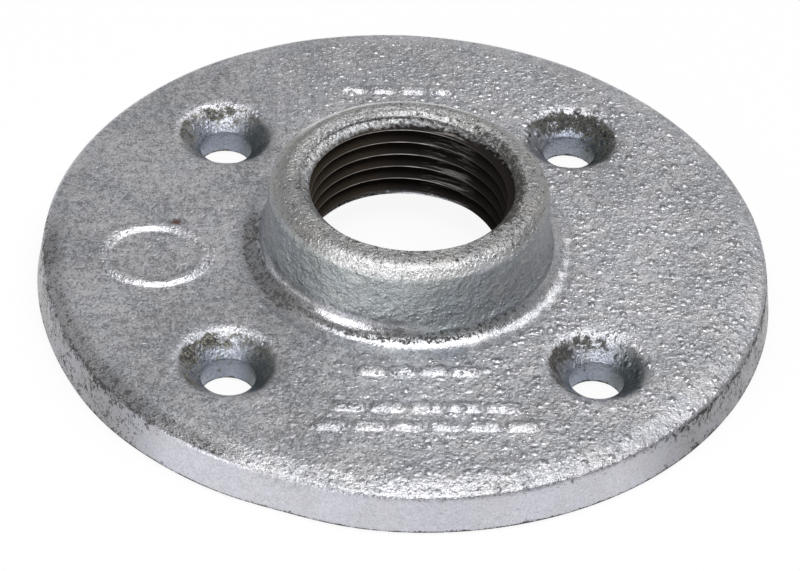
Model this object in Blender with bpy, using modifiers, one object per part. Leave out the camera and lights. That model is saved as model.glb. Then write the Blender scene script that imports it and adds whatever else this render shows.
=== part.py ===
"""Floor flange for 3/4 inch pipe: one iron casting with a threaded hub and four countersunk screw holes.

Metres, +Z up. The origin is the centre of the back face, the flat side that goes against a wall or
floor, and the pipe enters from above along +Z.
"""

import math

import bpy
from mathutils import Vector

NAME = "floor_flange"

# Plate
PLATE_DIAMETER = 0.0889
PLATE_THICKNESS = 0.0056
SHOULDER_WIDTH = 0.0027
SHOULDER_DROP = 0.0006
SHOULDER_ROUND = 0.0050
RIM_DRAFT = math.radians(8.5)
RIM_ROUND = 0.0008
BACK_EDGE_ROUND = 0.0005

# Hub, with its draft, its broad worn lip and the fillet where it grows out of the plate
OVERALL_HEIGHT = 0.0157
HUB_TOP_DIAMETER = 0.0333
HUB_DRAFT = math.radians(4)
HUB_LIP_ROUND = 0.0022
HUB_FOOT_FILLET = 0.0022

# Pipe bore, to the crests of its tapered thread, and the cored relief behind it
BORE_DIAMETER = 0.02366
BORE_TAPER = 1 / 16
MOUTH_DIAMETER = 0.0266
MOUTH_CHAMFER_ANGLE = math.radians(45)
RELIEF_DIAMETER = 0.0350
RELIEF_DEPTH = 0.0042
RELIEF_ROUND = 0.0008

# Screw holes: a straight land at the back and a cast countersink with a soft lip
SCREW_COUNT = 4
SCREW_FIRST_ANGLE = math.radians(45)
SCREW_CIRCLE_DIAMETER = 0.0608
SCREW_HOLE_DIAMETER = 0.0064
SCREW_LAND = 0.0032
SCREW_HEAD_DIAMETER = 0.0120
SCREW_LIP_ROUND = 0.0020
SCREW_LIP_SLOPE = math.radians(8)

# How finely round forms are faceted
TURN_STEPS = 96
HOLE_STEPS = 32
ARC_STEP = math.radians(18)
LARGEST_SHARE = 0.48
CUTTER_OVERRUN = 0.0020
MERGE_DISTANCE = 0.00001
SHARP_ANGLE = math.radians(35)


def clear_scene():
    """Start from an empty scene."""
    for obj in list(bpy.data.objects):
        bpy.data.objects.remove(obj)


def new_collection(name):
    """A collection linked to the scene."""
    collection = bpy.data.collections.new(name)
    bpy.context.scene.collection.children.link(collection)
    return collection


def zinc_coated_iron():
    """Mid-grey zinc coat on cast iron."""
    material = bpy.data.materials.new("zinc_coated_iron")
    material.use_nodes = True
    shader = material.node_tree.nodes["Principled BSDF"]
    shader.inputs["Base Color"].default_value = (0.36, 0.37, 0.385, 1.0)
    shader.inputs["Metallic"].default_value = 0.75
    shader.inputs["Roughness"].default_value = 0.45
    return material


def rounded_corner(before, corner, after, radius):
    """Points of the arc that rounds one corner of an outline, no larger than its two sides allow."""
    inward = (before - corner).normalized()
    outward = (after - corner).normalized()
    turn = math.pi - inward.angle(outward)
    if radius == 0:
        return [corner]
    room = LARGEST_SHARE * min((before - corner).length, (after - corner).length)
    radius = min(radius, room / math.tan(turn / 2))
    reach = radius * math.tan(turn / 2)
    centre = corner + (inward + outward).normalized() * math.hypot(radius, reach)
    first_spoke = (corner + inward * reach - centre).normalized()
    last_spoke = (corner + outward * reach - centre).normalized()
    steps = max(1, math.ceil(turn / ARC_STEP))
    return [centre + first_spoke.slerp(last_spoke, step / steps) * radius for step in range(steps + 1)]


def rounded_outline(corners, closed):
    """An outline through corners given as (radius, height, rounding), with each corner rounded."""
    spots = [Vector((r, z)) for r, z, rounding in corners]
    points = []
    for index, (r, z, rounding) in enumerate(corners):
        is_end = not closed and index in (0, len(corners) - 1)
        if is_end:
            points.append(spots[index])
            continue
        after = spots[(index + 1) % len(spots)]
        points.extend(rounded_corner(spots[index - 1], spots[index], after, rounding))
    return points


def turned(name, collection, outline, closed, steps):
    """A solid turned about Z from an outline of (radius, height) points that runs down its outer side."""
    mesh = bpy.data.meshes.new(name)
    edges = [(index, index + 1) for index in range(len(outline) - 1)]
    if closed:
        edges.append((len(outline) - 1, 0))
    mesh.from_pydata([(point.x, 0, point.y) for point in outline], edges, [])
    obj = bpy.data.objects.new(name, mesh)
    collection.objects.link(obj)
    screw = obj.modifiers.new("turn", "SCREW")
    screw.axis = "Z"
    screw.angle = math.tau
    screw.steps = steps
    screw.render_steps = steps
    screw.use_merge_vertices = True
    screw.merge_threshold = MERGE_DISTANCE
    return obj


def hub_radius(height):
    """Radius of the hub's drafted side at a height, before its lip and foot are rounded."""
    return HUB_TOP_DIAMETER / 2 + (OVERALL_HEIGHT - height) * math.tan(HUB_DRAFT)


def bore_radius(height):
    """Radius of the bore at a height: widest at the hub's face, where the pipe starts."""
    return (BORE_DIAMETER - (OVERALL_HEIGHT - height) * BORE_TAPER) / 2


def plate_radius(height):
    """Radius of the rim at a height: widest at the back face."""
    return PLATE_DIAMETER / 2 - height * math.tan(RIM_DRAFT)


def chamfer_depth():
    """Depth at which the mouth's chamfer, cut into the bore from above, meets the tapered wall."""
    widening = (MOUTH_DIAMETER - BORE_DIAMETER) / 2
    return widening / (math.tan(MOUTH_CHAMFER_ANGLE) - BORE_TAPER / 2)


def casting_section():
    """Half section of the casting, from the rim down, through the back and up the bore to the hub."""
    rim_height = PLATE_THICKNESS - SHOULDER_DROP
    shoulder_radius = plate_radius(rim_height) - SHOULDER_WIDTH
    chamfer_foot = OVERALL_HEIGHT - chamfer_depth()
    corners = [
        (plate_radius(rim_height), rim_height, RIM_ROUND),
        (plate_radius(0), 0, BACK_EDGE_ROUND),
        (RELIEF_DIAMETER / 2, 0, RELIEF_ROUND),
        (bore_radius(RELIEF_DEPTH), RELIEF_DEPTH, 0),
        (bore_radius(chamfer_foot), chamfer_foot, 0),
        (MOUTH_DIAMETER / 2, OVERALL_HEIGHT, 0),
        (hub_radius(OVERALL_HEIGHT), OVERALL_HEIGHT, HUB_LIP_ROUND),
        (hub_radius(PLATE_THICKNESS), PLATE_THICKNESS, HUB_FOOT_FILLET),
        (shoulder_radius, PLATE_THICKNESS, SHOULDER_ROUND),
    ]
    return rounded_outline(corners, closed=True)


def screw_hole_section():
    """Half section of the space that a screw and its head take, longer than the plate is thick."""
    hole = SCREW_HOLE_DIAMETER / 2
    head = SCREW_HEAD_DIAMETER / 2
    top = PLATE_THICKNESS + CUTTER_OVERRUN
    flare = head + CUTTER_OVERRUN / math.tan(SCREW_LIP_SLOPE)
    corners = [
        (0, top, 0),
        (flare, top, 0),
        (head, PLATE_THICKNESS, SCREW_LIP_ROUND),
        (hole, SCREW_LAND, 0),
        (hole, -CUTTER_OVERRUN, 0),
        (0, -CUTTER_OVERRUN, 0),
    ]
    return rounded_outline(corners, closed=False)


def cut(body, cutter):
    """Take the cutter's volume out of the body."""
    boolean = body.modifiers.new(cutter.name, "BOOLEAN")
    boolean.operation = "DIFFERENCE"
    boolean.solver = "EXACT"
    boolean.object = cutter


def screw_hole_cutters(collection):
    """One cutter for each screw hole, evenly spaced on the screw circle."""
    outline = screw_hole_section()
    cutters = []
    for index in range(SCREW_COUNT):
        cutter = turned(f"screw_hole_{index + 1}", collection, outline, closed=False, steps=HOLE_STEPS)
        angle = SCREW_FIRST_ANGLE + math.tau * index / SCREW_COUNT
        spot = SCREW_CIRCLE_DIAMETER / 2
        cutter.location = (spot * math.cos(angle), spot * math.sin(angle), 0)
        cutter.rotation_euler.z = angle
        cutter.hide_render = True
        cutter.display_type = "WIRE"
        cutters.append(cutter)
    return cutters


def finish_mesh(obj):
    """Settle the modifiers into the mesh, smooth its round faces and keep its true edges sharp."""
    depsgraph = bpy.context.evaluated_depsgraph_get()
    mesh = bpy.data.meshes.new_from_object(obj.evaluated_get(depsgraph))
    obj.modifiers.clear()
    obj.data = mesh
    mesh.shade_smooth()
    mesh.set_sharp_from_angle(angle=SHARP_ANGLE)


def make_flange():
    """The casting: a turned plate and hub, bored and relieved, with its screw holes cut through."""
    parts = new_collection(NAME)
    cutters = new_collection("cutters")
    casting = turned(NAME, parts, casting_section(), closed=True, steps=TURN_STEPS)
    for cutter in screw_hole_cutters(cutters):
        cut(casting, cutter)
    finish_mesh(casting)
    casting.data.materials.append(zinc_coated_iron())


clear_scene()
make_flange()
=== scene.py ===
"""The looks of a zinc-coated pipe flange: the casting's skin, its thread, its finish and a plain studio.

Lengths are in metres and +Z is up. The back of the plate stands on z = 0, and the pipe's axis is the Z axis.
"""

import math
from types import SimpleNamespace

import bmesh
import bpy
import numpy as np
from bpy.props import FloatProperty, FloatVectorProperty, PointerProperty
from mathutils import Matrix, Vector, geometry, noise


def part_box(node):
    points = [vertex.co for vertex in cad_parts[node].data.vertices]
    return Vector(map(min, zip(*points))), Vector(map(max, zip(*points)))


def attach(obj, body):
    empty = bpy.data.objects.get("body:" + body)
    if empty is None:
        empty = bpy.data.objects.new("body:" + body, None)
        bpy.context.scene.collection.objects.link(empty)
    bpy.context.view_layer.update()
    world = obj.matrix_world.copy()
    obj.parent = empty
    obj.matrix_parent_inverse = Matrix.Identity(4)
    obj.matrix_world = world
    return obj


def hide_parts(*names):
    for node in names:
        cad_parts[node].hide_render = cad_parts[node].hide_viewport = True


bl_info = {
    "name": "Zinc-coated pipe flange",
    "version": (1, 0, 0),
    "blender": (4, 5, 0),
    "location": "3D View > Sidebar > Flange",
    "description": "Makes the skin, thread and finish of a cast pipe flange, and a plain studio for it",
    "category": "Object",
}

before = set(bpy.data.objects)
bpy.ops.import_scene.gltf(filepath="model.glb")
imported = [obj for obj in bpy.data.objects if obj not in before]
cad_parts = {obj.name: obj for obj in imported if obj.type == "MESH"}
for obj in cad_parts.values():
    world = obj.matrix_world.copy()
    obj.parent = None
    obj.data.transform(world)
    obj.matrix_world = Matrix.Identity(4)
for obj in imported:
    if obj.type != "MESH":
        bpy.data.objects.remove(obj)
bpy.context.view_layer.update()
LOW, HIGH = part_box("floor_flange")

MM = 0.001
SENSOR_WIDTH = 36.0

# How finely the skin is divided
LATTICE = 0.30 * MM
BACK_LATTICE = 1.5 * MM
LATTICE_MARGIN = 0.6
ROW_STEP = 0.38 * MM
HUB_COLUMNS = 288
RIM_COLUMNS = 360
HOLE_COLUMNS = 84
ROWS_PER_THREAD = 8
ARC_STEP = math.radians(8)
WELD_DISTANCE = 0.004 * MM
SHARP_ANGLE = math.radians(38)

# Brings the noise of mathutils to between about -1 and 1
NOISE_GAIN = 1.6

# Shifts that keep the noises of the cast surface apart
SWELL_SHIFT = 11.0
PIMPLE_SHIFT = 5.0
SMALL_PIMPLE_SHIFT = 23.0


# Properties that a user would change

def length(name, description, default):
    return FloatProperty(name=name, description=description, default=default, min=0, precision=5,
                         unit="LENGTH")


def signed_length(name, description, default):
    return FloatProperty(name=name, description=description, default=default, precision=5, unit="LENGTH")


def angle(name, description, degrees):
    return FloatProperty(name=name, description=description, default=math.radians(degrees), unit="ROTATION")


def amount(name, description, default):
    return FloatProperty(name=name, description=description, default=default, min=0)


def colour(name, description, default):
    return FloatVectorProperty(name=name, description=description, default=default, size=3, min=0, max=1,
                               subtype="COLOR")


class FlangeSizes(bpy.types.PropertyGroup):
    """Sizes of the casting and its thread"""
    plate_diameter: length("Plate", "Across the back of the plate", HIGH.x - LOW.x)
    overall_height: length("Height", "From the back of the plate to the top of the hub", HIGH.z - LOW.z)
    plate_thickness: length("Plate thickness", "Thickness of the flat part of the plate", 5.6 * MM)
    shoulder_width: length("Shoulder width", "How far in from the rim the plate starts to fall", 2.7 * MM)
    shoulder_drop: length("Shoulder drop", "How far the plate falls by its rim", 0.6 * MM)
    shoulder_round: length("Shoulder round", "Radius of the soft fold of the shoulder", 5.0 * MM)
    rim_draft: angle("Rim draft", "Slope of the rim, so that the casting leaves its mould", 8.5)
    rim_round: length("Rim round", "Radius of the rim's upper edge", 0.8 * MM)
    back_edge_round: length("Back edge round", "Radius of the rim's lower edge", 0.5 * MM)
    hub_diameter: length("Hub", "Across the hub at its top, before the lip is rounded", 33.3 * MM)
    hub_draft: angle("Hub draft", "Slope of the hub's side", 4)
    hub_lip_round: length("Hub lip", "Radius of the hub's upper edge", 2.2 * MM)
    hub_foot_fillet: length("Hub foot", "Radius of the fillet between the hub and the plate", 2.8 * MM)
    bore_diameter: length("Bore", "Across the crests of the thread at the hub's face", 23.66 * MM)
    bore_taper: amount("Bore taper", "How much the bore narrows across for each unit of depth", 1 / 16)
    mouth_diameter: length("Mouth", "Across the chamfer at the hub's face", 26.6 * MM)
    thread_pitch: length("Thread pitch", "From one crest to the next, 14 to the inch", 25.4 * MM / 14)
    thread_depth: length("Thread depth", "From crest to root", 1.451 * MM)
    thread_flat: amount("Thread flat", "Share of the pitch that is flat at a crest and at a root", 0.04)
    thread_start: length("Thread start", "Height of a crest where the thread crosses the +X side", 0.742 * MM)
    relief_diameter: length("Relief", "Across the cored relief at the back", 35.0 * MM)
    relief_depth: length("Relief depth", "Depth of the relief, where the thread ends", 4.2 * MM)
    relief_round: length("Relief round", "Radius of the relief's edge at the back", 0.8 * MM)
    screw_circle: length("Screw circle", "Across the circle of screw holes", 60.8 * MM)
    screw_first_angle: angle("First screw", "Where the first screw hole lies", 45)
    screw_hole: length("Screw hole", "Across a screw hole", 6.4 * MM)
    screw_land: length("Screw land", "Height of the straight part of a screw hole", 3.2 * MM)
    screw_head: length("Screw head", "Across the countersink", 12.0 * MM)
    screw_lip_round: length("Screw lip", "Radius of the countersink's soft upper edge", 2.4 * MM)
    screw_neck_round: length("Screw neck", "Radius of the soft edge below the countersink", 0.4 * MM)
    screw_edge_round: length("Screw edge", "Radius of a screw hole's edge at the back", 0.25 * MM)


SCREW_COUNT = 4

# How sooty each countersink is from the first screw on, and the azimuth in degrees of its sootiest side
SCREW_SOOT = ((1.25, 55), (1.15, 140), (1.3, 150), (1.05, 140))

# The azimuth of the side of each countersink that is painted dark as shade
SIDE_SHADE_AZIMUTH = math.radians(-8)

# Rows of raised dashes: place along Y, first place and limit along X, spacing, half a dash's length
MARK_ROWS = (
    (-32.2 * MM, -10.0 * MM, 13.0 * MM, 4.4 * MM, 1.2 * MM),
    (-29.0 * MM, -7.8 * MM, 11.0 * MM, 4.4 * MM, 1.2 * MM),
    (-22.8 * MM, -5.0 * MM, 7.0 * MM, 3.6 * MM, 0.9 * MM),
    (30.8 * MM, -5.4 * MM, 7.0 * MM, 3.7 * MM, 0.9 * MM),
)

# The raised oval at the left: its middle, and half its length and width
OVAL_MIDDLE = (-30.3 * MM, -2.2 * MM)
OVAL_HALF = (6.2 * MM, 5.2 * MM)

# Where the rim strays from a true circle: azimuth and half width in degrees, and how far out it goes
RIM_STRAYS = ((-111, 9, -0.45 * MM), (-144, 12, 0.30 * MM))


# The section of the casting, as lines of (radius, height)

def rounded(before, corner, after, radius):
    """Points along the arc that rounds a corner, from the side of before to the side of after."""
    before, corner, after = Vector(before), Vector(corner), Vector(after)
    inward = (before - corner).normalized()
    outward = (after - corner).normalized()
    turn = math.pi - inward.angle(outward)
    reach = radius * math.tan(turn / 2)
    centre = corner + (inward + outward).normalized() * math.hypot(radius, reach)
    first_spoke = (corner + inward * reach - centre).normalized()
    last_spoke = (corner + outward * reach - centre).normalized()
    steps = max(2, math.ceil(turn / ARC_STEP))
    return [tuple(centre + first_spoke.slerp(last_spoke, step / steps) * radius) for step in range(steps + 1)]


def plate_radius(sizes, height):
    """Radius of the drafted rim at a height."""
    return sizes.plate_diameter / 2 - height * math.tan(sizes.rim_draft)


def hub_radius(sizes, height):
    """Radius of the hub's drafted side at a height."""
    return sizes.hub_diameter / 2 + (sizes.overall_height - height) * math.tan(sizes.hub_draft)


def bore_radius(sizes, height):
    """Radius of the tapered bore at a height, across the crests of the thread."""
    return (sizes.bore_diameter - (sizes.overall_height - height) * sizes.bore_taper) / 2


def rim_corners(sizes):
    """The shoulder's fold, the rim's upper edge and its lower edge, as sharp corners."""
    rim_height = sizes.plate_thickness - sizes.shoulder_drop
    shoulder = (plate_radius(sizes, rim_height) - sizes.shoulder_width, sizes.plate_thickness)
    rim = (plate_radius(sizes, rim_height), rim_height)
    back_edge = (plate_radius(sizes, 0), 0)
    return shoulder, rim, back_edge


def plate_line(sizes):
    """The plate's top, from the hub's foot out over the shoulder to where the rim's rounding starts."""
    shoulder, rim, _ = rim_corners(sizes)
    foot = hub_line(sizes)[0]
    return [foot] + rounded(foot, shoulder, rim, sizes.shoulder_round) + [rim_line(sizes)[0]]


def rim_line(sizes):
    """The rim, from the end of the plate's top down to the back."""
    shoulder, rim, back_edge = rim_corners(sizes)
    top = rounded(shoulder, rim, back_edge, sizes.rim_round)
    bottom = rounded(rim, back_edge, (0, 0), sizes.back_edge_round)
    return top + bottom


def hub_line(sizes):
    """The hub, from its foot on the plate up over the lip and in to the edge of the mouth."""
    thickness, height = sizes.plate_thickness, sizes.overall_height
    mouth = (sizes.mouth_diameter / 2, height)
    foot = (hub_radius(sizes, thickness), thickness)
    lip = (hub_radius(sizes, height), height)
    beyond = (sizes.plate_diameter / 2, thickness)
    fillet = rounded(beyond, foot, lip, sizes.hub_foot_fillet)
    return fillet + rounded(foot, lip, mouth, sizes.hub_lip_round) + [mouth]


def relief_line(sizes):
    """The relief's wall and its edge, from the end of the thread down to the back."""
    top = (bore_radius(sizes, sizes.relief_depth), sizes.relief_depth)
    edge = (sizes.relief_diameter / 2, 0)
    return [top] + rounded(top, edge, (sizes.plate_diameter / 2, 0), sizes.relief_round)


def screw_hole_line(sizes):
    """A screw hole, from its lip on the plate down the countersink and the land to the back."""
    thickness, land = sizes.plate_thickness, sizes.screw_land
    lip = (sizes.screw_head / 2, thickness)
    neck = (sizes.screw_hole / 2, land)
    bottom = (sizes.screw_hole / 2, 0)
    outside = (sizes.screw_head, thickness)
    beneath = (sizes.screw_head, 0)
    return (
        rounded(outside, lip, neck, sizes.screw_lip_round)
        + rounded(lip, neck, bottom, sizes.screw_neck_round)
        + rounded(neck, bottom, beneath, sizes.screw_edge_round)
    )


def screw_places(sizes):
    """Where the axes of the screw holes stand."""
    radius = sizes.screw_circle / 2
    turns = [sizes.screw_first_angle + 2 * math.pi * number / SCREW_COUNT for number in range(SCREW_COUNT)]
    return [(radius * math.cos(turn), radius * math.sin(turn)) for turn in turns]


# Sheets of points and faces, which are welded into the skin

def resampled(line, step):
    """The same line with its points one step apart."""
    line = np.array(line)
    along = np.concatenate([[0], np.cumsum(np.hypot(*np.diff(line, axis=0).T))])
    places = np.linspace(0, along[-1], max(2, round(along[-1] / step) + 1))
    return np.stack([np.interp(places, along, line[:, axis]) for axis in (0, 1)], axis=1)


def circle(radius, columns, centre=(0, 0)):
    """Points (x, y) round a circle."""
    turns = np.arange(columns) * 2 * np.pi / columns
    return np.stack([centre[0] + radius * np.cos(turns), centre[1] + radius * np.sin(turns)], axis=1)


def strip_faces(rows, columns, closed):
    """Four-sided faces between neighbouring rows of points."""
    spans = columns if closed else columns - 1
    row, column = np.meshgrid(np.arange(rows - 1), np.arange(spans), indexing="ij")
    near, far = row * columns, (row + 1) * columns
    onward = (column + 1) % columns
    return np.stack([near + column, near + onward, far + onward, far + column], axis=-1).reshape(-1, 4)


def turned_sheet(line, columns, centre=(0, 0)):
    """A line of (radius, height) turned round an upright axis."""
    rings = [
        np.column_stack([circle(radius, columns, centre), np.full(columns, height)])
        for radius, height in line
    ]
    return np.concatenate(rings), strip_faces(len(line), columns, closed=True)


def flat_sheet(outer, holes, spacing):
    """A flat sheet of triangles inside a circle, clear of its holes.

    The outer circle and each hole are given as (radius, columns, centre). Points lie on the circles, and on
    a lattice between them.
    """
    reach = outer[0]
    row_gap = spacing * math.sqrt(3) / 2
    rows = np.arange(-math.ceil(reach / row_gap), math.ceil(reach / row_gap) + 1)
    columns = np.arange(-math.ceil(reach / spacing), math.ceil(reach / spacing) + 1)
    row, column = np.meshgrid(rows, columns, indexing="ij")
    lattice = np.stack([(column + 0.5 * (row % 2)) * spacing, row * row_gap], axis=-1).reshape(-1, 2)
    margin = LATTICE_MARGIN * spacing
    keep = np.hypot(*lattice.T) < reach - margin
    for radius, _, centre in holes:
        keep &= np.hypot(*(lattice - centre).T) > radius + margin
    points = [lattice[keep]]
    edges = []
    first = len(points[0])
    for radius, count, centre in [outer, *holes]:
        points.append(circle(radius, count, centre))
        edges += [(first + step, first + (step + 1) % count) for step in range(count)]
        first += count
    points = np.concatenate(points)
    points = [Vector(point) for point in points]
    whole_hull = 0
    corners, _, faces, *_ = geometry.delaunay_2d_cdt(points, edges, [], whole_hull, WELD_DISTANCE / 10)
    corners = np.array([point[:] for point in corners])
    faces = np.array(faces)
    middles = corners[faces].mean(axis=1)
    solid = np.ones(len(faces), bool)
    for radius, count, centre in holes:
        solid &= np.hypot(*(middles - centre).T) > radius * math.cos(math.pi / count)
    return corners, faces[solid]


def plate_sheet(sizes):
    """The plate's top face, a fine lattice that falls at the shoulder."""
    line = np.array(plate_line(sizes))
    lip = screw_hole_line(sizes)[0][0]
    holes = [(line[0, 0], HUB_COLUMNS, (0, 0))]
    holes += [(lip, HOLE_COLUMNS, centre) for centre in screw_places(sizes)]
    flat, faces = flat_sheet((line[-1, 0], RIM_COLUMNS, (0, 0)), holes, LATTICE)
    heights = np.interp(np.hypot(*flat.T), line[:, 0], line[:, 1])
    return np.column_stack([flat, heights]), faces


def back_sheet(sizes):
    """The plate's back face."""
    bottom = screw_hole_line(sizes)[-1][0]
    holes = [(relief_line(sizes)[-1][0], HUB_COLUMNS, (0, 0))]
    holes += [(bottom, HOLE_COLUMNS, centre) for centre in screw_places(sizes)]
    flat, faces = flat_sheet((rim_line(sizes)[-1][0], RIM_COLUMNS, (0, 0)), holes, BACK_LATTICE)
    return np.column_stack([flat, np.zeros(len(flat))]), faces


def thread_radius(sizes, turns, heights):
    """The radius of a right-hand tapered thread, with its crests and roots cut a little flat."""
    phase = (heights - sizes.thread_start) / sizes.thread_pitch - turns
    from_crest = np.abs(phase - np.round(phase)) * 2
    depth = np.clip((from_crest - sizes.thread_flat) / (1 - 2 * sizes.thread_flat), 0, 1) * sizes.thread_depth
    return bore_radius(sizes, heights) + depth


def bore_sheet(sizes):
    """The bore: the thread, cut across by the mouth's chamfer and the relief. Its rows climb as it does."""
    row_gap = sizes.thread_pitch / ROWS_PER_THREAD
    rows = math.ceil((sizes.overall_height + 2 * sizes.thread_pitch) / row_gap) + 1
    lowest = sizes.thread_start - 2 * sizes.thread_pitch
    row, column = np.meshgrid(np.arange(rows), np.arange(HUB_COLUMNS + 1), indexing="ij")
    turns = column / HUB_COLUMNS
    heights = np.clip(lowest + row * row_gap + turns * sizes.thread_pitch, 0, sizes.overall_height)
    relief = np.array(relief_line(sizes))[::-1]
    chamfer = sizes.mouth_diameter / 2 - (sizes.overall_height - heights)
    radii = np.maximum(thread_radius(sizes, turns, heights), chamfer)
    radii = np.maximum(radii, np.interp(heights, relief[:, 1], relief[:, 0], right=0))
    azimuths = turns * 2 * np.pi
    points = np.stack([radii * np.cos(azimuths), radii * np.sin(azimuths), heights], axis=-1)
    return points.reshape(-1, 3), strip_faces(rows, HUB_COLUMNS + 1, closed=False)


def casting_sheets(sizes):
    """All the sheets of the casting's closed skin."""
    sheets = [
        plate_sheet(sizes),
        back_sheet(sizes),
        turned_sheet(resampled(rim_line(sizes), ROW_STEP), RIM_COLUMNS),
        turned_sheet(resampled(hub_line(sizes), ROW_STEP), HUB_COLUMNS),
        bore_sheet(sizes),
    ]
    hole = resampled(screw_hole_line(sizes), ROW_STEP)
    sheets += [turned_sheet(hole, HOLE_COLUMNS, centre) for centre in screw_places(sizes)]
    return sheets


def welded(sheets, name):
    """One closed mesh from sheets whose edges meet."""
    points, faces = [], []
    for sheet_points, sheet_faces in sheets:
        faces += (sheet_faces + len(points)).tolist()
        points += sheet_points.tolist()
    mesh = bpy.data.meshes.new(name)
    mesh.from_pydata(points, [], faces)
    shape = bmesh.new()
    shape.from_mesh(mesh)
    bmesh.ops.remove_doubles(shape, verts=shape.verts, dist=WELD_DISTANCE)
    bmesh.ops.dissolve_degenerate(shape, edges=shape.edges, dist=WELD_DISTANCE)
    bmesh.ops.recalc_face_normals(shape, faces=shape.faces)
    open_edges = [edge for edge in shape.edges if len(edge.link_faces) != 2]
    if open_edges:
        raise RuntimeError(f"the skin has {len(open_edges)} open edges")
    shape.to_mesh(mesh)
    shape.free()
    return mesh


# The cast surface: waves, pimples and raised marks

def ease(low, high, value):
    """Rises smoothly from 0 at low to 1 at high."""
    share = np.clip((value - low) / (high - low), 0, 1)
    return share * share * (3 - 2 * share)


def waves(points, wavelength, offset):
    """Soft noise between about -1 and 1, whose swells are about one wavelength apart."""
    shift = Vector((offset, offset, offset))
    return np.array([noise.noise(Vector(point) / wavelength + shift) for point in points]) * NOISE_GAIN


class CastSurface(bpy.types.PropertyGroup):
    """Heights and sizes of the casting's roughness, which is 1 at the right of the plate"""
    wave_length: length("Wave length", "From one slow swell of the surface to the next", 7.0 * MM)
    wave_height: length("Wave height", "How far the surface swells", 0.05 * MM)
    pimple_width: length("Pimple width", "From one pimple to the next", 1.1 * MM)
    pimple_height: length("Pimple height", "Height of the pimples where the mould was rough", 0.08 * MM)
    smooth_side: amount("Smooth side", "How rough the plate is at the left", 0.16)
    rim_rough: amount("Rim roughness", "How rough the rim is", 0.10)
    hub_rough: amount("Hub roughness", "How rough the hub is", 0.30)
    lip_rough: amount("Lip roughness", "How much rougher the hub's lip is", 0.60)
    mark_rough: amount("Mark roughness", "How rough the raised marks are at least", 0.25)
    mark_height: length("Mark height", "Height of the raised marks", 0.34 * MM)
    mark_width: length("Mark width", "Width of the raised marks", 1.5 * MM)


def casting_zones(points, sizes, surface):
    """How rough each point of the skin is, from 0 to 1, and how free it is to wave."""
    x, y, z = points.T
    radius = np.hypot(x, y)
    thickness, height = sizes.plate_thickness, sizes.overall_height
    mouth, relief_edge = sizes.mouth_diameter / 2, sizes.relief_diameter / 2
    from_screw = np.min([np.hypot(x - a, y - b) for a, b in screw_places(sizes)], axis=0)
    land = 1 - ease(sizes.screw_hole * 0.5, sizes.screw_hole * 0.65, from_screw)
    bore = 1 - ease(mouth, mouth + 0.4 * MM, radius)
    relief = (1 - ease(relief_edge, relief_edge + MM, radius)) * (z < sizes.relief_depth)
    back = 1 - ease(0, MM, z)
    still = np.maximum.reduce([land, bore, relief, back])
    foot = hub_radius(sizes, thickness)
    wall = ease(plate_radius(sizes, thickness) - 0.2 * MM, sizes.plate_diameter / 2 - MM, radius)
    hub = (1 - ease(foot + 0.65 * MM, foot + 2.65 * MM, radius)) * ease(thickness, thickness + MM, z)
    lip = hub * ease(height - 2.4 * MM, height - 1.2 * MM, z)
    right = ease(-12 * MM, 14 * MM, x - 0.35 * y)
    plate = surface.smooth_side + (1 - surface.smooth_side) * right
    rough = plate * (1 - wall) * (1 - hub)
    rough += surface.rim_rough * wall + surface.hub_rough * hub + surface.lip_rough * lip
    return rough * (1 - still), 1 - still


def screw_dirt_and_shade(points, sizes):
    """How sooty a countersink is at each point, how deep in the hole that is, and how dark the painted shade
    on its right side is.
    """
    x, y, z = points.T
    soot, well, stain = np.zeros((3, len(points)))
    head = sizes.screw_head / 2
    depth = 1 - ease(sizes.screw_land - 0.2 * MM, sizes.plate_thickness - 0.4 * MM, z)
    below_lip = 1 - ease(sizes.plate_thickness - 0.9 * MM, sizes.plate_thickness - 0.1 * MM, z)
    for (a, b), (share, azimuth) in zip(screw_places(sizes), SCREW_SOOT):
        inside = 1 - ease(head - 0.7 * MM, head + 0.3 * MM, np.hypot(x - a, y - b))
        turn = np.arctan2(y - b, x - a)
        soot += share * inside * (0.65 + 0.35 * np.cos(turn - math.radians(azimuth)))
        well += depth * inside
        stain += below_lip * inside * ease(0.1, 0.9, np.cos(turn - SIDE_SHADE_AZIMUTH))
    return soot, well, stain


def strayed(points, sizes):
    """The same points, with the rim out of round as it is on this casting."""
    radius = np.hypot(points[:, 0], points[:, 1])
    azimuth = np.degrees(np.arctan2(points[:, 1], points[:, 0]))
    stray = sum(reach * np.exp(-(((azimuth - middle) / width) ** 2)) for middle, width, reach in RIM_STRAYS)
    stray *= ease(0.85, 0.98, radius * 2 / sizes.plate_diameter)
    moved = points.copy()
    moved[:, :2] *= (1 + stray / np.maximum(radius, MM))[:, None]
    return moved


def segment_distance(points, start, end):
    """Distance in plan from each point to a straight segment."""
    start, end = np.array(start), np.array(end)
    along = end - start
    share = np.clip((points - start) @ along / max(along @ along, 1e-12), 0, 1)
    return np.hypot(*(points - start - share[:, None] * along).T)


def mark_distance(plan):
    """Distance in plan from each point to the nearest raised mark: rows of dashes, and an oval."""
    nearest = np.full(len(plan), np.inf)
    for row, start, end, gap, half in MARK_ROWS:
        for x in np.arange(start, end, gap):
            nearest = np.minimum(nearest, segment_distance(plan, (x - half, row), (x + half, row)))
    scaled = (plan - OVAL_MIDDLE) / OVAL_HALF
    level = np.hypot(*scaled.T)
    oval = np.abs(level - 1) * level / np.maximum(np.hypot(*(scaled / OVAL_HALF).T), 1e-9)
    return np.minimum(nearest, oval)


def vectors(items, name):
    """A vector of each of a mesh's items, one row for each."""
    values = np.empty(len(items) * 3, np.float32)
    items.foreach_get(name, values)
    return values.reshape(-1, 3).astype(float)


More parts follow.
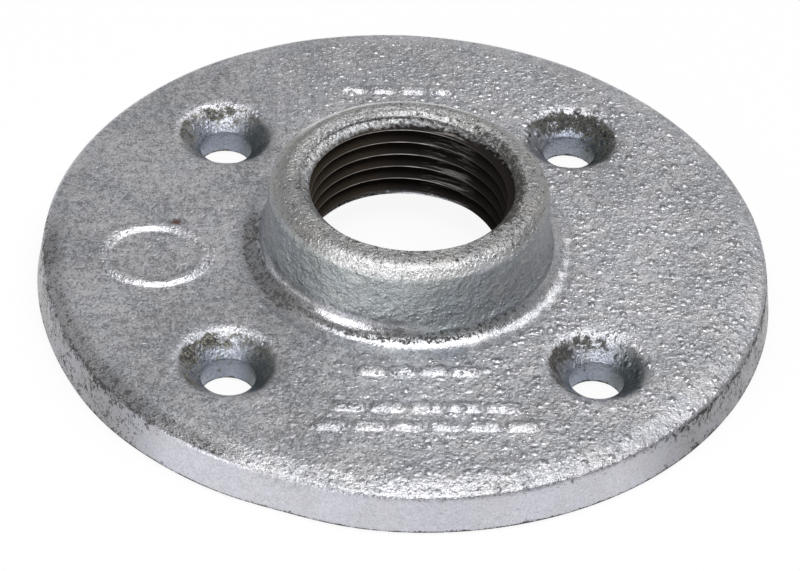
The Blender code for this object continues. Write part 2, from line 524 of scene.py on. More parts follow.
def roughen(mesh, sizes, surface):
    """Gives the true shape the swells, pimples and marks of a casting, and notes its hollows, its dirt and
    the painted shade of its screw holes.
    """
    points = vectors(mesh.vertices, "co")
    normals = vectors(mesh.vertex_normals, "vector")
    rough, free = casting_zones(points, sizes, surface)
    swell = 0.5 + 0.5 * waves(points, surface.wave_length, SWELL_SHIFT)
    pimple = waves(points, surface.pimple_width, PIMPLE_SHIFT)
    pimple += 0.5 * waves(points, surface.pimple_width / 2, SMALL_PIMPLE_SHIFT)
    dent = np.clip(0.5 - 0.5 * pimple, 0, 1.3)
    on_top = (normals[:, 2] > 0.9) & (points[:, 2] < sizes.plate_thickness + 0.1 * MM) & (free > 0)
    reach = surface.mark_width / 2
    raised = (1 - ease(0.5 * reach, 1.3 * reach, mark_distance(points[:, :2]))) * on_top
    rough = np.maximum(rough, raised * surface.mark_rough)
    depth = np.clip(swell, 0, 1) * surface.wave_height * free + dent * surface.pimple_height * rough
    moved = strayed(points + normals * (raised * surface.mark_height - depth)[:, None], sizes)
    moved = np.clip(moved, np.array(LOW), np.array(HIGH))
    mesh.vertices.foreach_set("co", moved.astype(np.float32).ravel())
    soot, well, stain = screw_dirt_and_shade(points, sizes)
    notes = {"hollow": dent * rough, "soot": soot, "well": well, "stain": stain, "mark": raised}
    for name, values in notes.items():
        mesh.attributes.new(name, "FLOAT", "POINT").data.foreach_set("value", values.astype(np.float32))
    mesh.update()


# Shader maths

class Wire:
    """One output of a shader node. Sums on it add the nodes that work them out."""

    def __init__(self, tree, socket):
        self.tree = tree
        self.socket = socket

    @classmethod
    def node(cls, tree, kind, settings=None, values=None, output=0):
        """Adds a node: its settings first, then a value or a link for each socket. Gives one output."""
        made = tree.nodes.new(kind)
        for name, setting in (settings or {}).items():
            setattr(made, name, setting)
        for key, value in (values or {}).items():
            if isinstance(value, Wire):
                tree.links.new(value.socket, made.inputs[key])
            else:
                made.inputs[key].default_value = value
        return cls(tree, made.outputs[output])

    def maths(self, operation, *others):
        """A maths node that takes this value and the others."""
        values = dict(enumerate((self, *others)))
        return Wire.node(self.tree, "ShaderNodeMath", {"operation": operation}, values)

    def __add__(self, other):
        return self.maths("ADD", other)

    def __sub__(self, other):
        return self.maths("SUBTRACT", other)

    def __rsub__(self, other):
        return (self * -1).maths("ADD", other)

    def __mul__(self, other):
        return self.maths("MULTIPLY", other)

    def __truediv__(self, other):
        return self.maths("DIVIDE", other)

    def __pow__(self, other):
        return self.maths("POWER", other)

    __radd__ = __add__
    __rmul__ = __mul__

    def eased(self, low, high):
        """Rises smoothly from 0 at low to 1 at high."""
        values = {"Value": self, "From Min": low, "From Max": high}
        return Wire.node(self.tree, "ShaderNodeMapRange", {"interpolation_type": "SMOOTHSTEP"}, values)

    def between(self, first, second):
        """A colour mixed from first to second as this goes from 0 to 1."""
        settings = {"data_type": "RGBA"}
        return Wire.node(self.tree, "ShaderNodeMix", settings, {0: self, 6: first, 7: second}, output=2)

    def overlaid(self, tint):
        """This colour under an overlay of a tint near middle grey, which shifts its hue."""
        settings = {"data_type": "RGBA", "blend_type": "OVERLAY"}
        return Wire.node(self.tree, "ShaderNodeMix", settings, {0: 1.0, 6: self, 7: tint}, output=2)

    def stretched(self, factors):
        """A vector multiplied by one factor along each axis."""
        return Wire.node(self.tree, "ShaderNodeVectorMath", {"operation": "MULTIPLY"}, {0: self, 1: factors})

    def grain(self, size, detail=2.0, roughness=0.5):
        """Noise from 0 to 1 of a given size, at the places that this vector gives in millimetres."""
        values = {"Vector": self, "Scale": MM / size, "Detail": detail, "Roughness": roughness}
        return Wire.node(self.tree, "ShaderNodeTexNoise", {}, values).eased(0.28, 0.72)

    def sibling(self, name):
        """Another output of the same node."""
        return Wire(self.tree, self.socket.node.outputs[name])

    def pebbles(self, size):
        """Separate domes of uneven height between 0 and 1, about one size apart."""
        distance = Wire.node(self.tree, "ShaderNodeTexVoronoi", {}, {"Vector": self, "Scale": MM / size})
        chance = Wire.node(self.tree, "ShaderNodeSeparateXYZ", {}, {0: distance.sibling("Color")})
        dome = (1 - distance * distance * 4.0).maths("MAXIMUM", 0)
        return dome * dome * (chance * chance * 0.9 + 0.1)


def opaque(rgb):
    """The colour as a socket takes it, with its alpha."""
    return (*rgb, 1.0)


class FlangeColours(bpy.types.PropertyGroup):
    """Colours of the finish, and of the light and shade painted on it"""
    zinc_light: colour("Light zinc", "Zinc where it is bright", (0.72, 0.72, 0.755))
    # Also the painted highlight on the hub's lip, and partly a painted highlight on the crumbled zinc round
    # the mouth
    worn_zinc: colour("Worn zinc", "Zinc rubbed bright on the lip of the hub", (0.86, 0.86, 0.87))
    zinc_dark: colour("Dark zinc", "Zinc where it has dulled", (0.30, 0.30, 0.315))
    # Lighter than the zinc: partly the hub's own teal, and partly painted light
    hub_tint: colour("Hub", "Zinc on the side of the hub", (0.64, 0.70, 0.69))
    land_tint: colour("Hub top", "Worn zinc on top of the hub", (0.315, 0.31, 0.30))
    # Painted shade on the hub's side at its left and right
    hub_shade: colour("Shaded hub", "Duller zinc at the left and right of the hub", (0.25, 0.27, 0.29))
    # Lighter lavender on the rim's wall: partly the zinc's own tint, and partly a painted reflection of the
    # pale floor
    rim_tint: colour("Rim", "Zinc on the rim", (0.72, 0.72, 0.80))
    # Painted shade, darker deeper in each screw hole
    hole_tint: colour("Screw hole", "Zinc inside a screw hole", (0.19, 0.22, 0.285))
    # Painted shade on the right side of each countersink
    hole_stain: colour("Hole stain", "Dark stain at the right of each countersink", (0.095, 0.115, 0.120))
    # Painted shade on the rim's wall at its left and right
    dull_rim: colour("Dull rim", "Zinc on the dull sides of the rim", (0.30, 0.293, 0.31))
    cool_cast: colour("Cool cast", "Overlay where the zinc is bluish", (0.490, 0.500, 0.516))
    warm_cast: colour("Warm cast", "Overlay where the zinc is yellowish", (0.506, 0.502, 0.490))
    # Also the colour of the painted shade at the hub's foot, along the rim and at the bottom edges of the
    # holes
    dirt: colour("Dirt", "Dirt in the hollows", (0.030, 0.028, 0.024))
    dust: colour("Dust", "Paler dirt in the countersinks", (0.26, 0.25, 0.20))
    oil: colour("Oiled iron", "The cut thread under its oil", (0.012, 0.009, 0.008))
    # Also the lighter brown painted at the left of the bore as painted light
    mouth_edge: colour("Mouth edge", "Brown iron on the chamfer of the mouth", (0.050, 0.037, 0.026))
    # Also the colour of the painted highlight along the crests
    crest: colour("Worn crest", "Bare iron along the crests of the thread", (0.34, 0.32, 0.31))
    rust: colour("Rust", "A spot of rust", (0.13, 0.055, 0.02))


class FlangeCoating(bpy.types.PropertyGroup):
    """Grain, relief, gloss and dirt of the zinc"""
    cloud_size: length("Clouds", "Size of the slow clouds", 9.0 * MM)
    cast_size: length("Casts", "Size of the bluish and yellowish areas", 4.5 * MM)
    patch_size: length("Patches", "Size of the patches of soot", 2.6 * MM)
    mottle_size: length("Mottle", "Size of the mottling", 1.1 * MM)
    fine_size: length("Fine grain", "Size of the fine grain", 0.42 * MM)
    speck_size: length("Specks", "Size of the smallest specks", 0.20 * MM)
    ragged_size: length("Ragged edge", "Size of the notches where the zinc ends in the mouth", 0.50 * MM)
    pebble_size: length("Pebbles", "From one pebble of the mould to the next", 1.1 * MM)
    pebble_height: length("Pebble height", "Height of the pebbles at the right", 0.34 * MM)
    grit_size: length("Grit", "From one grain of grit to the next", 0.55 * MM)
    grit_height: length("Grit height", "Height of the grit at the right", 0.115 * MM)
    hub_swell: length("Hub swell", "Height of the swells on the hub's side", 0.26 * MM)
    roughness: amount("Roughness", "Roughness of clean zinc", 0.22)
    metallic: amount("Metallic", "How metallic clean zinc is", 0.90)
    specular: amount("Specular", "Specular level of what isn't metallic", 0.12)
    oil_roughness: amount("Oil roughness", "Roughness of the oiled thread", 0.62)
    dirt_start: amount("Dirt start", "How much gathered dirt starts to show", 1.00)
    dirt_full: amount("Dirt full", "How much gathered dirt covers the zinc", 1.30)


# Sides of the casting where the finish and its painted light and shade differ: the azimuth of the middle and
# the half width, in degrees
SMOOTH_FOOT = (-124, 50)
UNTINTED_FOOT = (-128, 50)
HIGHLIGHT_LIP_FRONT = (-90, 50)
HIGHLIGHT_LIP_BACK = (100, 52)
CRUMBLED_MOUTH = (105, 80)
DIRTY_MOUTH = (5, 60)
BROWN_AND_LIT_THREAD = (168, 80)
PAINTED_LIGHT_HUB = (-112, 60)
SHADED_HUB_RIGHT = (-34, 66)
SHADED_HUB_LEFT = (192, 48)
DIRTY_SHADED_FOOT_LEFT = (193, 40)
DIRTY_SHADED_FOOT_FRONT = (-105, 85)
WIDER_FOOT_LINE = (-62, 54)
DIRTY_SHOULDER = (208, 44)
DIRTY_SHADED_RIM_RIGHT = (-12, 45)
DIRTY_SHADED_RIM_LEFT = (196, 38)
DIRTY_SHADED_RIM_FRONT = (-48, 45)
SHADED_RIM_RIGHT = (-12, 48)
SHADED_RIM_LEFT = (192, 40)

# The share of a side's half width within which it counts in full
SIDE_CORE = 0.6

# Middle of the one spot of rust, and the radii between which it fades out, in millimetres
RUST_MIDDLE = (-27.7, 3.8)
RUST_FADE = (0.3, 0.9)

# How the millimetre grain of the cutter's chatter is drawn out along the thread
CHATTER_STRETCH = (0.25, 0.25, 6.0)


def towards(at, side):
    """From 0 to 1, for places that lie on one side of the casting, seen from its axis."""
    azimuth, spread = (math.radians(part) for part in side)
    along = (at.x * math.cos(azimuth) + at.y * math.sin(azimuth)) / at.radius
    return along.eased(math.cos(spread), math.cos(spread * SIDE_CORE))


def casting_places(tree, sizes, coating):
    """Wires that say where on the casting a point is, in millimetres or from 0 to 1, and its noises."""
    at = SimpleNamespace()
    place = Wire.node(tree, "ShaderNodeTexCoord", output="Object")
    at.place = Wire.node(tree, "ShaderNodeVectorMath", {"operation": "SCALE"}, {0: place, "Scale": 1 / MM})
    at.x, at.y, at.z = (
        Wire.node(tree, "ShaderNodeSeparateXYZ", {}, {0: at.place}, output=axis) for axis in range(3)
    )
    at.radius = (at.x * at.x + at.y * at.y) ** 0.5
    at.right = (at.x + at.y.maths("ABSOLUTE") * 0.35).eased(-14, 14)
    at.front = (at.y * -1).eased(10, 36)
    across, along = RUST_MIDDLE
    at.rust = 1 - (((at.x - across) ** 2 + (at.y - along) ** 2) ** 0.5).eased(*RUST_FADE)
    at.hollow, at.soot, at.well, at.stain, at.mark = (
        Wire.node(tree, "ShaderNodeAttribute", {"attribute_name": name}, output="Fac")
        for name in ("hollow", "soot", "well", "stain", "mark")
    )
    at.clouds = at.place.grain(coating.cloud_size, 3.0)
    at.cast = at.place.grain(coating.cast_size)
    at.patch = at.place.grain(coating.patch_size)
    at.mottle = at.place.grain(coating.mottle_size, 4.0, 0.6)
    at.fine = at.place.grain(coating.fine_size, 3.0, 0.7)
    at.speck = at.place.grain(coating.speck_size, 1.0)
    at.pebble = at.place.pebbles(coating.pebble_size)
    at.grit = at.place.pebbles(coating.grit_size)
    mark_foot(at, sizes)
    mark_hub(at, sizes)
    mark_mouth(at, sizes, coating)
    mark_rim(at, sizes)
    return at


def mark_foot(at, sizes):
    """Adds masks of the hub's foot: where the fillet is smooth, and where it is painted dark, partly as dirt
    and partly as painted shade.
    """
    thickness = sizes.plate_thickness / MM
    foot = hub_radius(sizes, sizes.plate_thickness) / MM
    fillet = at.radius.eased(foot + 0.05, foot + 0.45)
    above = at.radius.eased(foot - 0.45, foot - 0.05) * towards(at, SMOOTH_FOOT)
    at.foot = fillet.maths("MAXIMUM", above) * (1 - at.radius.eased(foot + 2.85, foot + 3.65))
    at.foot = at.foot * at.z.eased(thickness - 2.6, thickness - 1.6)
    at.foot = at.foot * (1 - at.z.eased(thickness + 1.8, thickness + 3.0))
    low = 1 - at.z.eased(thickness + 0.9, thickness + 1.8)
    left = at.radius.eased(foot - 0.05, foot + 0.55) * (1 - at.radius.eased(foot + 1.95, foot + 3.35))
    at.left_foot = left * low * towards(at, DIRTY_SHADED_FOOT_LEFT)
    line = (at.radius + towards(at, WIDER_FOOT_LINE) * 0.5).eased(foot + 0.40, foot + 0.75)
    line = line * (1 - at.radius.eased(foot + 1.05, foot + 1.65))
    at.foot_line = line * low * towards(at, DIRTY_SHADED_FOOT_FRONT)


def mark_hub(at, sizes):
    """Adds masks of the hub, its flat top, its side and its lip where a highlight is painted on it."""
    thickness = sizes.plate_thickness / MM
    height = sizes.overall_height / MM
    foot = hub_radius(sizes, sizes.plate_thickness) / MM
    top = sizes.hub_diameter / 2 / MM
    at.hub = (1 - at.radius.eased(foot + 0.25, foot + 1.85)) * at.z.eased(thickness + 0.2, thickness + 1.5)
    at.land = at.z.eased(height - 2.0, height - 0.8)
    at.side = at.hub * (1 - at.land) * (1 - at.foot * towards(at, UNTINTED_FOOT))
    # Where a highlight is painted on the lip, at its front and at its back
    front = at.z.eased(height - 2.2, height - 1.3) * (1 - at.z.eased(height - 0.5, height - 0.1))
    front = front * at.hub * towards(at, HIGHLIGHT_LIP_FRONT) * 0.55
    back = at.z.eased(height - 1.4, height - 0.9) * at.radius.eased(top - 1.75, top - 1.05)
    at.bright_lip = front.maths("MAXIMUM", back * towards(at, HIGHLIGHT_LIP_BACK))


def mark_mouth(at, sizes, coating):
    """Adds masks of the cut bore, and of the dirt and crumbled zinc round its mouth."""
    mouth = sizes.mouth_diameter / 2 / MM
    height = sizes.overall_height / MM
    relief = sizes.relief_depth / MM
    ragged = at.place.grain(coating.ragged_size) * 0.3
    in_bore = 1 - at.radius.eased(mouth + 0.5, mouth + 1.0)
    below = 1 - (at.z + ragged).eased(height - 1.45, height - 0.95)
    at.cut = in_bore * below * at.z.eased(relief - 0.3, relief + 0.1)
    crumbs = (1 - at.radius.eased(mouth + 0.7, mouth + 1.5)) * at.z.eased(height - 1.5, height - 1.0)
    at.crumbs = crumbs * (towards(at, CRUMBLED_MOUTH) * 0.8 + 0.2)
    at.mouth_ring = at.land * (1 - at.radius.eased(mouth, mouth + 0.9))


def mark_rim(at, sizes):
    """Adds masks of the rim's wall, the wall's two edges and the shoulder above it."""
    _, (rim, rim_height), _ = np.array(rim_corners(sizes)) / MM
    at.wall = at.radius.eased(rim - 0.62, rim - 0.12) * (1 - at.z.eased(rim_height - 0.4, rim_height + 0.1))
    at.shoulder = at.radius.eased(rim - 3.42, rim - 1.22) * at.z.eased(rim_height - 0.4, rim_height)
    upper = at.z.eased(rim_height - 1.6, rim_height - 0.2)
    at.rim_edge = upper.maths("MAXIMUM", 1 - at.z.eased(0.3, 1.1))


def thread_look(at, sizes, colours):
    """Colour of the cut thread, where its iron is bare and painted bright as a highlight, and the cutter's
    chatter.
    """
    height = sizes.overall_height / MM
    relief = sizes.relief_depth / MM
    turn = at.y.maths("ARCTAN2", at.x) / (2 * math.pi)
    phase = (at.z - sizes.thread_start / MM) / (sizes.thread_pitch / MM) - turn
    rightward = at.x / at.radius
    backward = at.y / at.radius
    # The crests are painted bright: partly bare worn iron, and partly a painted highlight, strongest on the
    # far wall and faint at the right
    crest = (1 - phase.maths("PINGPONG", 0.5).eased(0.010, 0.040)) * at.z.eased(relief + 0.4, relief + 1.8)
    crest = crest * (backward.eased(0.35, 1.0) * 0.75 + 0.25) * (1 - rightward.eased(0.35, 0.85) * 0.85)
    crest = crest * (1 - at.z.eased(height - 1.5, height - 0.9))
    chatter = at.place.stretched(CHATTER_STRETCH).grain(MM, 3.0, 0.7)
    # Bright streaks of chatter at one side: partly a painted reflection
    beside = rightward.eased(0.15, 0.35) * (1 - rightward.eased(0.55, 0.75))
    bare_and_sheen = (crest * (chatter * 0.6 + 0.4)).maths("MAXIMUM", beside * chatter.eased(0.5, 0.9) * 0.50)
    brown = at.z.eased(height - 1.1, height - 0.1) * (at.fine * 0.6 + 0.4)
    # Lighter brown at the left of the bore: partly a brown film, and partly painted light
    brown = brown.maths("MAXIMUM", towards(at, BROWN_AND_LIT_THREAD) * 0.75)
    iron = brown.between(opaque(colours.oil), opaque(colours.mouth_edge))
    return bare_and_sheen.between(iron, opaque(colours.crest)), bare_and_sheen, chatter


def dirt_and_shade_by_place(at):
    """How much dirt and painted shade each part of the casting has gathered, before it breaks up into specks.
    """
    soot = at.soot * (at.patch * 0.7 + at.mottle * 0.5 + 0.08) * (1 - at.well * 0.7)
    # Darker on the rim's wall near its edges and at its left and right: partly dirt, and partly painted shade
    rim = at.rim_edge * (towards(at, DIRTY_SHADED_RIM_FRONT) * 0.14 + 0.12) + at.patch * 0.18
    rim = rim + (towards(at, DIRTY_SHADED_RIM_RIGHT) + towards(at, DIRTY_SHADED_RIM_LEFT)) * 0.30
    # Painted shade along the bottom edges of the rim and of the screw holes
    lower_edge_shade = (at.wall + at.well) * (1 - at.z.eased(0.25, 0.65)) * 0.5
    # The dark band and line at the hub's foot: partly dirt, and partly painted shade in the fillet
    foot = (at.left_foot * 0.62).maths("MAXIMUM", at.foot_line * 0.56)
    shoulder = at.shoulder * towards(at, DIRTY_SHOULDER) * 0.55
    ring = at.mouth_ring * (towards(at, DIRTY_MOUTH) * 0.24 + 0.18 - at.crumbs * 0.16)
    land = (at.land - at.bright_lip * 0.6) * 0.32
    return soot + at.wall * rim + lower_edge_shade + foot + shoulder + ring + land


def zinc_look(at, colours, coating):
    """Colour of the zinc with its painted light and shade, and how grimy and shaded it is."""
    tone = (at.clouds * 0.16 + at.mottle * 0.24 + at.fine * 0.26 + at.speck * 0.34).eased(0.24, 0.76)
    # The zinc is painted darker towards the front of the plate, as painted shade
    tone = (tone - 0.5) * (1 - at.right * 0.2) + 0.5 - at.front * 0.09
    # The hub's side gets its teal tint, painted lighter towards the front as painted light
    hub_tint_and_light = at.side * (towards(at, PAINTED_LIGHT_HUB) * 0.36 + 0.18)
    # Painted shade on the left and right of the hub's side
    hub_painted_shade = at.side * (towards(at, SHADED_HUB_RIGHT) * 0.55 + towards(at, SHADED_HUB_LEFT) * 0.60)
    # Lighter zinc: a painted highlight on the hub's lip, and crumbled zinc round the mouth that is partly a
    # painted highlight
    worn_and_highlight = at.bright_lip.maths("MAXIMUM", at.crumbs * at.fine.eased(0.3, 0.6) * 0.8)
    # Painted shade on the rim's wall at its left and right, with some random tone
    rim_shade = towards(at, SHADED_RIM_RIGHT) * 0.95 + towards(at, SHADED_RIM_LEFT) * 0.85 + at.cast * 0.12
    zinc = tone.between(opaque(colours.zinc_dark), opaque(colours.zinc_light))
    layers = (
        (hub_tint_and_light, colours.hub_tint),
        (hub_painted_shade, colours.hub_shade),
        (at.land * 0.7, colours.land_tint),
        (worn_and_highlight, colours.worn_zinc),
        # The rim's wall: partly its own tint, and partly a painted reflection of the pale floor
        (at.wall * 0.6, colours.rim_tint),
        (at.wall * rim_shade, colours.dull_rim),
        # Painted shade deeper in each screw hole
        (at.well ** 0.6 * 0.7, colours.hole_tint),
        # Painted shade on the right side of each countersink
        (at.stain * 0.85, colours.hole_stain),
    )
    for share, tint in layers:
        zinc = share.between(zinc, opaque(tint))
    zinc = zinc.overlaid(at.cast.between(opaque(colours.cool_cast), opaque(colours.warm_cast)))
    # Dirt together with painted shade
    grime_and_shade = dirt_and_shade_by_place(at) + at.hollow * 0.10 + at.mottle * 0.35 + at.fine * 0.45 + at.speck * 0.35
    grime_and_shade = grime_and_shade.eased(coating.dirt_start, coating.dirt_full)
    dusty = (at.fine * 0.5 + at.speck * 0.5).eased(0.40, 0.85) * at.soot * (0.9 - at.x.eased(-5, 15) * 0.55)
    dirt = dusty.between(opaque(colours.dirt), opaque(colours.dust))
    zinc = (grime_and_shade * 0.92).between(zinc, dirt)
    return (at.rust * (at.fine * 0.5 + 0.5)).between(zinc, opaque(colours.rust)), grime_and_shade


def relief_height(at, coating, chatter):
    """Height of the fine relief in millimetres: pebbles where the mould was rough, grain all over."""
    side = at.side * (1 - at.foot)
    smooth = (1 - at.wall * 0.7) * (1 - at.well * 0.8) * (1 - at.foot * 0.85) * (1 - at.shoulder * 0.3)
    smooth = smooth * (1 - at.bright_lip * 0.4) * (1 - at.front * 0.25)
    pebble_height = at.right * (1 - at.hub) * (coating.pebble_height / MM)
    pebble_height = pebble_height + side * 0.04 + at.land * 0.10 + at.soot * 0.10 + 0.01
    grit_height = at.right * (coating.grit_height / MM) + side * 0.10 + at.land * 0.08
    grit_height = grit_height + at.mark * 0.05 + at.soot * 0.08 + 0.045
    fine_height = at.right * 0.012 + at.land * 0.020 - at.foot * 0.025 + 0.030
    mottle_height = side * (coating.hub_swell / MM) + at.mark * 0.10
    skin = (at.pebble * pebble_height + at.grit * grit_height) * smooth
    skin = skin + at.fine * fine_height + at.speck * (0.008 - at.foot * 0.006)
    skin = skin + at.mottle * mottle_height + at.patch * side * 0.15 + at.grit * at.crumbs * 0.24
    return skin * (1 - at.cut) + chatter * at.cut * 0.02


def zinc_finish(sizes, colours, coating):
    """Galvanised cast iron: dull zinc with a fine grain, dirt in its hollows and an oiled thread, with
    painted highlights and shade.
    """
    material = bpy.data.materials.new("galvanised_cast_iron")
    material.use_nodes = True
    tree = material.node_tree
    at = casting_places(tree, sizes, coating)
    thread, bare_and_sheen, chatter = thread_look(at, sizes, colours)
    zinc, grime_and_shade = zinc_look(at, colours, coating)
    roughness = at.mottle * 0.08 + at.fine * 0.08 + grime_and_shade * 0.25 + coating.roughness
    roughness = roughness + at.side * 0.08 + at.crumbs * 0.08 - at.foot * 0.10
    roughness = roughness * (1 - at.cut) + (coating.oil_roughness - bare_and_sheen * 0.25) * at.cut
    metallic = (coating.metallic - at.side * 0.18 - at.crumbs * 0.20) * (1 - grime_and_shade * 0.85)
    metallic = metallic * (1 - at.cut) + bare_and_sheen * 0.8 * at.cut
    relief = {"Height": relief_height(at, coating, chatter), "Distance": MM, "Strength": 1.0}
    shader = tree.nodes["Principled BSDF"]
    shader.inputs["Specular IOR Level"].default_value = coating.specular
    looks = {
        "Base Color": at.cut.between(zinc, thread),
        "Roughness": roughness,
        "Metallic": metallic,
        "Normal": Wire.node(tree, "ShaderNodeBump", {}, relief),
    }
    for name, wire in looks.items():
        tree.links.new(wire.socket, shader.inputs[name])
    return material


class FLANGE_OT_casting(bpy.types.Operator):
    """Makes the casting: plate, hub, screw holes and thread in one closed skin"""
    bl_idname = "flange.casting"
    bl_label = "Casting"

    def execute(self, context):
        scene = context.scene
        sizes = scene.flange_sizes
        mesh = welded(casting_sheets(sizes), "cast_flange")
        roughen(mesh, sizes, scene.flange_surface)
        mesh.shade_smooth()
        mesh.set_sharp_from_angle(angle=SHARP_ANGLE)
        mesh.materials.append(zinc_finish(sizes, scene.flange_colours, scene.flange_coating))
        piece = bpy.data.objects.new("cast_flange", mesh)
        scene.collection.objects.link(piece)
        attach(piece, "root")
        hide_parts("floor_flange")
        return {"FINISHED"}


# The studio

class StudioSettings(bpy.types.PropertyGroup):
    """Camera, lamps, floor and surroundings"""
    azimuth: angle("Azimuth", "Direction of the camera round the flange, 0 from the front", -4.757)
    elevation: angle("Elevation", "Height of the camera above the horizon", 40.107)
    roll: angle("Roll", "Tilt of the camera about its own axis", -3.726)
    distance: length("Distance", "From the camera to the point that it looks at", 452.682 * MM)
    lens: amount("Lens", "Focal length in millimetres on a 36 mm sensor", 167.83)
    aim_right: signed_length("Aim right", "How far to the right of the origin the camera aims", -0.422 * MM)
    aim_up: signed_length("Aim up", "How far above the origin the camera aims", -0.645 * MM)
    floor: colour("Floor", "Colour of the floor", (0.90, 0.90, 0.90))
    floor_width: length("Floor width", "Width and depth of the floor", 4.0)
    floor_gap: length("Floor gap", "How far the floor lies below the back of the plate", 0.02 * MM)
    floor_glow: amount("Floor glow", "Share of plain white that the camera and reflections see", 0.90)
    room: amount("Room", "Brightness of the room behind the flange", 0.42)
    room_front: amount("Room at the front", "Brightness of the room behind the camera", 0.22)
    horizon: amount("Horizon", "Brightness of the pale strip along the horizon", 0.92)
    overhead_lamp: amount("Overhead lamp", "Brightness of the softbox above the flange", 3.6)
    right_lamp: amount("Right lamp", "Brightness of the softbox behind and at the right", 1.5)
    left_lamp: amount("Left lamp", "Brightness of the softbox at the left", 3.1)


# The softboxes: the middle, the width and the depth of each, in metres
SOFTBOXES = {
    "overhead_lamp": ((0.03, -0.10, 0.49), 0.50, 0.36),
    "right_lamp": ((0.25, 0.295, 0.46), 0.28, 0.28),
    "left_lamp": ((-0.385, -0.400, 0.225), 0.34, 0.30),
}

# Parts of a direction of length 1: how far forward the room's back turns into its front, and how high the
# pale strip along the horizon fades out
ROOM_TURN = (-0.75, 0.3)
HORIZON_STRIP = (0.03, 0.09)


def camera_frame(studio):
    """The camera's place and axes."""
    turn = Matrix.Rotation(studio.azimuth, 3, "Z")
    back = Vector((0, -math.cos(studio.elevation), math.sin(studio.elevation)))
    right = Vector((1, 0, 0))
    up = back.cross(right)
    place = right * studio.aim_right + up * studio.aim_up + back * studio.distance
    cosine, sine = math.cos(studio.roll), math.sin(studio.roll)
    axes = [right * cosine - up * sine, right * sine + up * cosine, back]
    matrix = (turn @ Matrix(axes).transposed()).to_4x4()
    matrix.translation = turn @ place
    return matrix


def add_camera(scene, studio):
    """The camera that stands where the photo was taken from."""
    camera = bpy.data.cameras.new("photo_camera")
    camera.lens = studio.lens
    camera.sensor_width = SENSOR_WIDTH
    camera.clip_start = 10 * MM
    body = bpy.data.objects.new("photo_camera", camera)
    body.matrix_world = camera_frame(studio)
    scene.collection.objects.link(body)
    scene.camera = body


def add_softbox(scene, name, brightness):
    """A soft lamp of the given radiance that faces the flange."""
    place, width, depth = SOFTBOXES[name]
    lamp = bpy.data.lights.new(name, "AREA")
    lamp.shape = "RECTANGLE"
    lamp.size = width
    lamp.size_y = depth
    lamp.energy = brightness * math.pi * width * depth
    body = bpy.data.objects.new(name, lamp)
    body.location = place
    body.rotation_mode = "QUATERNION"
    body.rotation_quaternion = (-Vector(place)).to_track_quat("-Z", "Y")
    scene.collection.objects.link(body)


def add_surroundings(scene, studio):
    """A plain room, pale at the horizon and dimmer above."""
    world = bpy.data.worlds.new("studio_room")
    world.use_nodes = True
    scene.world = world
    tree = world.node_tree
    direction = Wire.node(tree, "ShaderNodeTexCoord", output="Generated")
    along, rise = (
        Wire.node(tree, "ShaderNodeSeparateXYZ", {}, {0: direction}, output=axis) for axis in (1, 2)
    )
    front = (along * -1).eased(*ROOM_TURN)
    shade = front * (studio.room_front - studio.room) + studio.room
    strip = 1 - rise.eased(*HORIZON_STRIP)
    shade = shade + strip * (studio.horizon - shade)
    tree.links.new(shade.socket, tree.nodes["Background"].inputs["Color"])


def floor_finish(studio):
    """Matt pale board that stays near white to the camera and in reflections."""
    material = bpy.data.materials.new("pale_board")
    material.use_nodes = True
    tree = material.node_tree
    tree.nodes.remove(tree.nodes["Principled BSDF"])
    matt = Wire.node(tree, "ShaderNodeBsdfDiffuse", {}, {"Color": opaque(studio.floor)})
    glow = Wire.node(tree, "ShaderNodeEmission", {}, {"Color": (1, 1, 1, 1), "Strength": 1.0})
    seen, mirrored, through = (
        Wire.node(tree, "ShaderNodeLightPath", output=f"Is {kind} Ray")
        for kind in ("Camera", "Glossy", "Transmission")
    )
    share = seen.maths("MAXIMUM", mirrored).maths("MAXIMUM", through) * studio.floor_glow
    mixed = Wire.node(tree, "ShaderNodeMixShader", {}, {0: share, 1: matt, 2: glow})
    tree.links.new(mixed.socket, tree.nodes["Material Output"].inputs["Surface"])
    return material


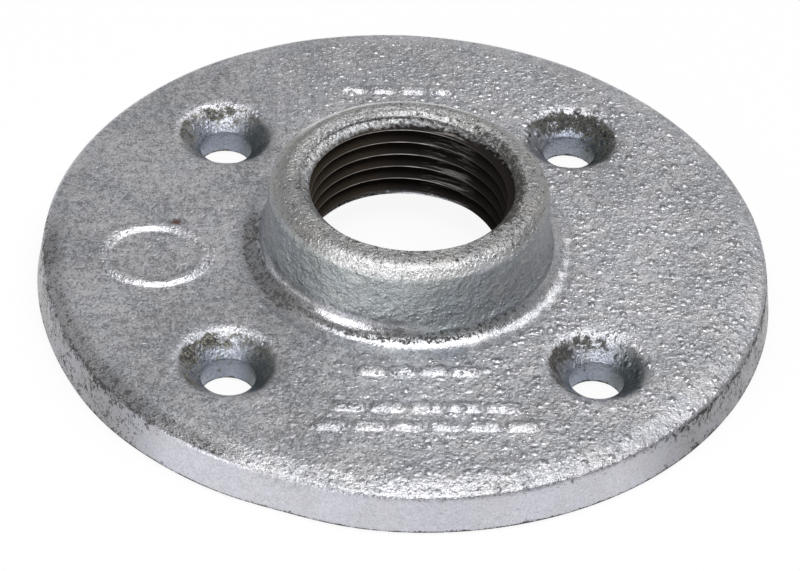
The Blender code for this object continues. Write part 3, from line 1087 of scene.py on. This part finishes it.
def add_floor(scene, studio):
    """A wide square board that the flange lies on."""
    half = studio.floor_width / 2
    corners = ((-half, -half), (half, -half), (half, half), (-half, half))
    mesh = bpy.data.meshes.new("studio_floor")
    mesh.from_pydata([(x, y, -studio.floor_gap) for x, y in corners], [], [(0, 1, 2, 3)])
    mesh.materials.append(floor_finish(studio))
    floor = bpy.data.objects.new("studio_floor", mesh)
    scene.collection.objects.link(floor)


class FLANGE_OT_studio(bpy.types.Operator):
    """Makes the floor, the lamps, the room and the camera"""
    bl_idname = "flange.studio"
    bl_label = "Studio"

    def execute(self, context):
        scene = context.scene
        studio = scene.flange_studio
        scene.view_settings.view_transform = "Standard"
        add_floor(scene, studio)
        add_surroundings(scene, studio)
        for name in SOFTBOXES:
            add_softbox(scene, name, getattr(studio, name))
        add_camera(scene, studio)
        return {"FINISHED"}


class FLANGE_PT_sidebar(bpy.types.Panel):
    """Lists what can be made and the settings"""
    bl_label = "Pipe flange"
    bl_space_type = "VIEW_3D"
    bl_region_type = "UI"
    bl_category = "Flange"

    def draw(self, context):
        layout = self.layout
        for operator in OPERATORS:
            layout.operator(operator.bl_idname)
        for name in GROUPS:
            group = getattr(context.scene, name)
            box = layout.box()
            for setting in group.bl_rna.properties:
                if setting.identifier in group.__annotations__:
                    box.prop(group, setting.identifier)


GROUPS = {
    "flange_sizes": FlangeSizes,
    "flange_surface": CastSurface,
    "flange_colours": FlangeColours,
    "flange_coating": FlangeCoating,
    "flange_studio": StudioSettings,
}
OPERATORS = (FLANGE_OT_casting, FLANGE_OT_studio)


def register():
    for made in (*GROUPS.values(), *OPERATORS, FLANGE_PT_sidebar):
        bpy.utils.register_class(made)
    for name, group in GROUPS.items():
        setattr(bpy.types.Scene, name, PointerProperty(type=group))


def unregister():
    for name in GROUPS:
        delattr(bpy.types.Scene, name)
    for made in (FLANGE_PT_sidebar, *reversed(OPERATORS), *reversed(GROUPS.values())):
        bpy.utils.unregister_class(made)


def main():
    """Makes the flange and its studio."""
    register()
    bpy.ops.flange.casting()
    bpy.ops.flange.studio()


if __name__ == "__main__":
    main()
